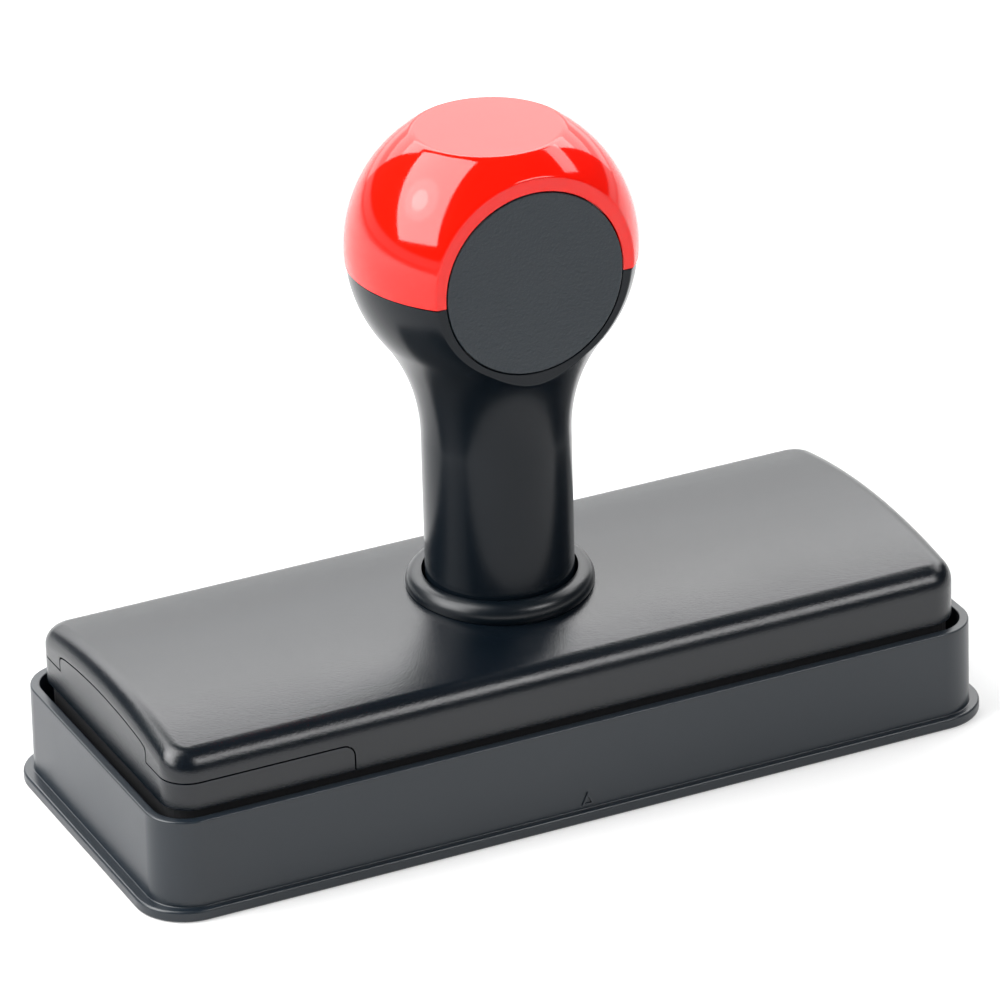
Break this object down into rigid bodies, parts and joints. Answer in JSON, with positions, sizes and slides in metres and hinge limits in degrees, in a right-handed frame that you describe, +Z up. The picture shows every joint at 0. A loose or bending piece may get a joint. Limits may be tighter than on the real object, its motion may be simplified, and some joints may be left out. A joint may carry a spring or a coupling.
{
  "type": "self inking stamp",
  "caption": "Long self inking office stamp: sprung printing plate and slide-out ink cartridge in a domed housing, ball handle to press, and a tray that it stands in.",
  "frame": {"origin": "middle of the tray's underside, on the table", "axes": "+X along the stamp, away from the cartridge's pinch wings; +Y towards the back, the round flat of the ball faces -Y; +Z up along the handle"},
  "size_m": [0.109, 0.0452, 0.0793],
  "materials": {
    "satin_black": "smooth satin moulded plastic",
    "grained_black": "finely grained moulded plastic",
    "gloss_black": "polished black plastic",
    "gloss_red": "polished red plastic",
    "disc_grey": "matt dark grey plastic with fine grain",
    "inner_black": "plain moulded plastic",
    "steel": "zinc plated",
    "spring_steel": "drawn wire",
    "ink_felt": "ink soaked felt",
    "die_rubber": "porous stamp rubber"
  },
  "bodies": {
    "tray": {"base_tray": "satin_black"},
    "stamp_unit": {"chassis": "inner_black", "top_cover": "grained_black", "neck_collar": "grained_black", "cover_screw_1": "steel", "cover_screw_2": "steel", "cover_screw_3": "steel", "cover_screw_4": "steel", "return_spring_1": "spring_steel", "return_spring_2": "spring_steel", "return_spring_3": "spring_steel", "return_spring_4": "spring_steel"},
    "plunger": {"handle_body": "gloss_black", "press_post": "gloss_black", "ball_cap": "gloss_red", "front_disc": "disc_grey", "tie_screw": "steel", "tie_washer": "steel", "die_carriage": "inner_black", "feed_felt_left": "ink_felt", "feed_felt_right": "ink_felt", "stamp_die": "die_rubber"},
    "cartridge": {"cartridge_frame": "grained_black", "ink_pad": "ink_felt"}
  },
  "joints": [
    {"name": "lift_off", "type": "slide", "parent": "tray", "child": "stamp_unit", "axis": [0, 0, 1], "range_m": [0, 0.03]},
    {"name": "handle_press", "type": "slide", "parent": "stamp_unit", "child": "plunger", "axis": [0, 0, -1], "range_m": [0, 0.0032], "stiffness_N_per_m": 2000, "springref_m": -0.002, "deforming": ["return_spring_1", "return_spring_2", "return_spring_3", "return_spring_4"]},
    {"name": "cartridge_pull", "type": "slide", "parent": "stamp_unit", "child": "cartridge", "axis": [-1, 0, 0], "range_m": [0, 0.098]}
  ]
}
